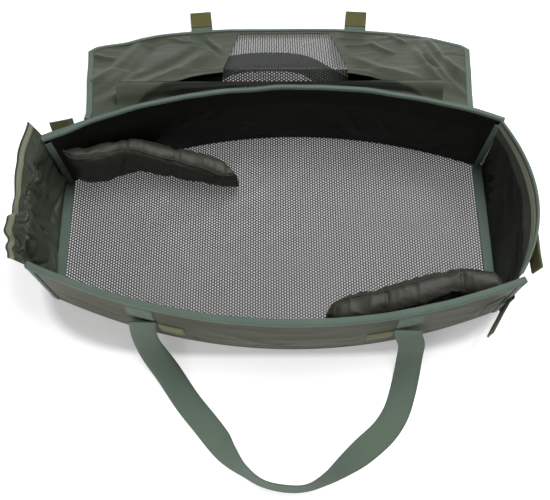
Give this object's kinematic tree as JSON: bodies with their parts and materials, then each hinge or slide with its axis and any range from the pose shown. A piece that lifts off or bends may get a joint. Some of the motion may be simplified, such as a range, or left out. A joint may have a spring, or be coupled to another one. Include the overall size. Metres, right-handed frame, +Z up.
{
  "type": "carp cradle",
  "caption": "Soft landing cradle for a large fish, with padded bowed walls, a net floor, padded wings, fold-down ends, webbing carry handles and a folded-back lid with a net window.",
  "frame": {"origin": "middle of the net floor's underside, on the ground", "axes": "+X along the cradle, to the right end with the standing panel; +Y to the rear, the side of the lid; +Z up"},
  "size_m": [0.9981, 1.0793, 0.1995],
  "materials": {
    "base_net": "knitted polyester mesh, matt",
    "corner_loop_patch": "loop fastener, matt fuzzy",
    "front_handle_anchor_left": "woven polypropylene webbing, matt",
    "front_handle_anchor_right": "woven polypropylene webbing, matt",
    "front_handle_strap": "woven polypropylene webbing, matt",
    "front_left_end_tape": "grosgrain binding tape, matt",
    "front_right_end_tape": "grosgrain binding tape, matt",
    "front_rim_tape": "grosgrain binding tape, matt",
    "front_wall_foam": "closed-cell foam, matt",
    "front_wall_lining": "coated nylon, soft sheen",
    "front_wall_outer_cloth": "coated nylon, satin",
    "hanging_tab_hook": "hook fastener, matt",
    "hanging_tab_webbing": "woven polypropylene webbing, matt",
    "left_base_tape": "grosgrain binding tape, matt",
    "left_end_flap": "coated nylon, soft sheen",
    "left_end_panel": "coated nylon, soft sheen",
    "left_flap_tape": "grosgrain binding tape, matt",
    "left_hook_strip": "loop fastener, matt fuzzy",
    "left_wing_cover": "coated nylon, soft sheen",
    "left_wing_foam": "closed-cell foam, matt",
    "left_wing_piping": "grosgrain binding tape, matt",
    "lid_edge_tape": "grosgrain binding tape, matt",
    "lid_middle_cloth_left": "coated nylon, soft sheen",
    "lid_middle_cloth_right": "coated nylon, soft sheen",
    "lid_middle_net": "knitted polyester mesh, matt",
    "lid_outer_cloth": "coated nylon, soft sheen",
    "lid_outer_net": "knitted polyester mesh, matt",
    "lid_root_web": "coated nylon, soft sheen",
    "lid_tab_left_hook": "hook fastener, matt",
    "lid_tab_left_webbing": "woven polypropylene webbing, matt",
    "lid_tab_right_hook": "hook fastener, matt",
    "lid_tab_right_webbing": "woven polypropylene webbing, matt",
    "lid_upper_cloth_left": "coated nylon, soft sheen",
    "lid_upper_cloth_right": "coated nylon, soft sheen",
    "lid_upper_net": "knitted polyester mesh, matt",
    "loop_patch_left": "loop fastener, matt fuzzy",
    "loop_patch_right": "loop fastener, matt fuzzy",
    "rear_handle_anchor_left": "woven polypropylene webbing, matt",
    "rear_handle_anchor_right": "woven polypropylene webbing, matt",
    "rear_handle_strap": "woven polypropylene webbing, matt",
    "rear_left_end_tape": "grosgrain binding tape, matt",
    "rear_left_tab_hook": "hook fastener, matt",
    "rear_left_tab_webbing": "woven polypropylene webbing, matt",
    "rear_right_end_tape": "grosgrain binding tape, matt",
    "rear_rim_tape": "grosgrain binding tape, matt",
    "rear_wall_foam": "closed-cell foam, matt",
    "rear_wall_lining": "coated nylon, soft sheen",
    "rear_wall_outer_cloth": "coated nylon, satin",
    "right_base_tape": "grosgrain binding tape, matt",
    "right_end_flap": "coated nylon, soft sheen",
    "right_end_panel": "coated nylon, soft sheen",
    "right_flap_tape": "grosgrain binding tape, matt",
    "right_hook_strip": "loop fastener, matt fuzzy",
    "right_wing_cover": "coated nylon, soft sheen",
    "right_wing_foam": "closed-cell foam, matt",
    "right_wing_piping": "grosgrain binding tape, matt",
    "wrap_tab_hook": "hook fastener, matt",
    "wrap_tab_webbing": "woven polypropylene webbing, matt"
  },
  "bodies": {
    "cradle": {"base_net": "base_net", "corner_loop_patch": "corner_loop_patch", "front_handle_anchor_left": "front_handle_anchor_left", "front_handle_anchor_right": "front_handle_anchor_right", "front_left_end_tape": "front_left_end_tape", "front_right_end_tape": "front_right_end_tape", "front_rim_tape": "front_rim_tape", "front_wall_foam": "front_wall_foam", "front_wall_lining": "front_wall_lining", "front_wall_outer_cloth": "front_wall_outer_cloth", "left_base_tape": "left_base_tape", "lid_root_web": "lid_root_web", "loop_patch_left": "loop_patch_left", "loop_patch_right": "loop_patch_right", "rear_handle_anchor_left": "rear_handle_anchor_left", "rear_handle_anchor_right": "rear_handle_anchor_right", "rear_left_end_tape": "rear_left_end_tape", "rear_right_end_tape": "rear_right_end_tape", "rear_rim_tape": "rear_rim_tape", "rear_wall_foam": "rear_wall_foam", "rear_wall_lining": "rear_wall_lining", "rear_wall_outer_cloth": "rear_wall_outer_cloth", "right_base_tape": "right_base_tape"},
    "lid_upper": {"lid_upper_cloth_left": "lid_upper_cloth_left", "lid_upper_cloth_right": "lid_upper_cloth_right", "lid_upper_net": "lid_upper_net"},
    "lid_middle": {"lid_middle_cloth_left": "lid_middle_cloth_left", "lid_middle_cloth_right": "lid_middle_cloth_right", "lid_middle_net": "lid_middle_net"},
    "lid_outer": {"lid_outer_cloth": "lid_outer_cloth", "lid_outer_net": "lid_outer_net", "lid_edge_tape": "lid_edge_tape"},
    "lid_tab_left": {"lid_tab_left_webbing": "lid_tab_left_webbing", "lid_tab_left_hook": "lid_tab_left_hook"},
    "lid_tab_right": {"lid_tab_right_webbing": "lid_tab_right_webbing", "lid_tab_right_hook": "lid_tab_right_hook"},
    "front_handle": {"front_handle_strap": "front_handle_strap"},
    "rear_handle": {"rear_handle_strap": "rear_handle_strap"},
    "left_wing": {"left_wing_cover": "left_wing_cover", "left_wing_foam": "left_wing_foam", "left_wing_piping": "left_wing_piping"},
    "right_wing": {"right_wing_cover": "right_wing_cover", "right_wing_foam": "right_wing_foam", "right_wing_piping": "right_wing_piping"},
    "left_end_panel": {"left_end_panel": "left_end_panel"},
    "right_end_panel": {"right_end_panel": "right_end_panel"},
    "left_end_flap": {"left_end_flap": "left_end_flap", "left_hook_strip": "left_hook_strip", "left_flap_tape": "left_flap_tape"},
    "right_end_flap": {"right_end_flap": "right_end_flap", "right_hook_strip": "right_hook_strip", "right_flap_tape": "right_flap_tape"},
    "rear_left_tab": {"rear_left_tab_webbing": "rear_left_tab_webbing", "rear_left_tab_hook": "rear_left_tab_hook"},
    "wrap_tab": {"wrap_tab_webbing": "wrap_tab_webbing", "wrap_tab_hook": "wrap_tab_hook"},
    "hanging_tab": {"hanging_tab_webbing": "hanging_tab_webbing", "hanging_tab_hook": "hanging_tab_hook"}
  },
  "joints": [
    {"name": "lid_hinge", "type": "hinge", "parent": "cradle", "child": "lid_upper", "pos_m": [0, 0.2495, 0.194], "axis": [1, 0, 0], "range_deg": [0, 265.5]},
    {"name": "lid_fold", "type": "hinge", "parent": "lid_upper", "child": "lid_middle", "pos_m": [0, 0.26226, 0.00944], "axis": [1, 0, 0], "range_deg": [-127.86, 0]},
    {"name": "lid_ridge", "type": "hinge", "parent": "lid_middle", "child": "lid_outer", "pos_m": [0, 0.35236, 0.0887], "axis": [1, 0, 0], "range_deg": [0, 69.22]},
    {"name": "rear_handle_swing", "type": "hinge", "parent": "cradle", "child": "rear_handle", "pos_m": [-0.243, 0.21852, 0.125], "axis": [0.9993, 0.0384, 0], "range_deg": [0, 88.5]},
    {"name": "lid_tab_left_fold", "type": "hinge", "parent": "lid_outer", "child": "lid_tab_left", "pos_m": [-0.1662, 0.51393, 0.00752], "axis": [0.9923, 0.11, -0.0566], "range_deg": [0, 60]},
    {"name": "lid_tab_right_fold", "type": "hinge", "parent": "lid_outer", "child": "lid_tab_right", "pos_m": [0.1902, 0.51393, 0.00752], "axis": [0.9923, -0.11, 0.0566], "range_deg": [0, 60]},
    {"name": "front_handle_swing", "type": "hinge", "parent": "cradle", "child": "front_handle", "pos_m": [-0.243, -0.21852, 0.125], "axis": [-0.9993, 0.0384, 0], "range_deg": [0, 105]},
    {"name": "left_wing_swing", "type": "hinge", "parent": "cradle", "child": "left_wing", "pos_m": [-0.42438, 0.12602, 0], "axis": [0, 0, -1], "range_deg": [0, 40]},
    {"name": "right_wing_swing", "type": "hinge", "parent": "cradle", "child": "right_wing", "pos_m": [0.42523, -0.15854, 0], "axis": [0, 0, -1], "range_deg": [0, 40]},
    {"name": "left_end_fold", "type": "hinge", "parent": "cradle", "child": "left_end_panel", "pos_m": [-0.44919, 0, 0.00434], "axis": [0, -1, 0], "range_deg": [0, 60]},
    {"name": "right_end_fold", "type": "hinge", "parent": "cradle", "child": "right_end_panel", "pos_m": [0.44917, 0, 0.00425], "axis": [0, 1, 0], "range_deg": [0, 78]},
    {"name": "left_flap_fold", "type": "hinge", "parent": "left_end_panel", "child": "left_end_flap", "pos_m": [-0.46707, 0, 0.14017], "axis": [0, 1, 0], "range_deg": [0, 120]},
    {"name": "right_flap_fold", "type": "hinge", "parent": "right_end_panel", "child": "right_end_flap", "pos_m": [0.43948, 0, 0.14637], "axis": [0, -1, 0], "range_deg": [0, 90]},
    {"name": "rear_left_tab_fold", "type": "hinge", "parent": "cradle", "child": "rear_left_tab", "pos_m": [-0.3894, 0.15996, 0.14], "axis": [0.1381, -0.5567, -0.8192], "range_deg": [0, 60]},
    {"name": "wrap_tab_fold", "type": "hinge", "parent": "right_end_flap", "child": "wrap_tab", "pos_m": [0.4715, -0.068, 0.1457], "axis": [0.1539, 0, 0.9881], "range_deg": [0, 80]},
    {"name": "hanging_tab_fold", "type": "hinge", "parent": "cradle", "child": "hanging_tab", "pos_m": [0.44536, -0.16779, 0.06], "axis": [0, 0, 1], "range_deg": [0, 40]}
  ],
  "couplings": [
    {"joint": "lid_fold", "follows": "lid_hinge", "ratio": -0.48158},
    {"joint": "lid_ridge", "follows": "lid_hinge", "ratio": 0.26071},
    {"joint": "rear_handle_swing", "follows": "lid_hinge", "ratio": 0.33333}
  ]
}
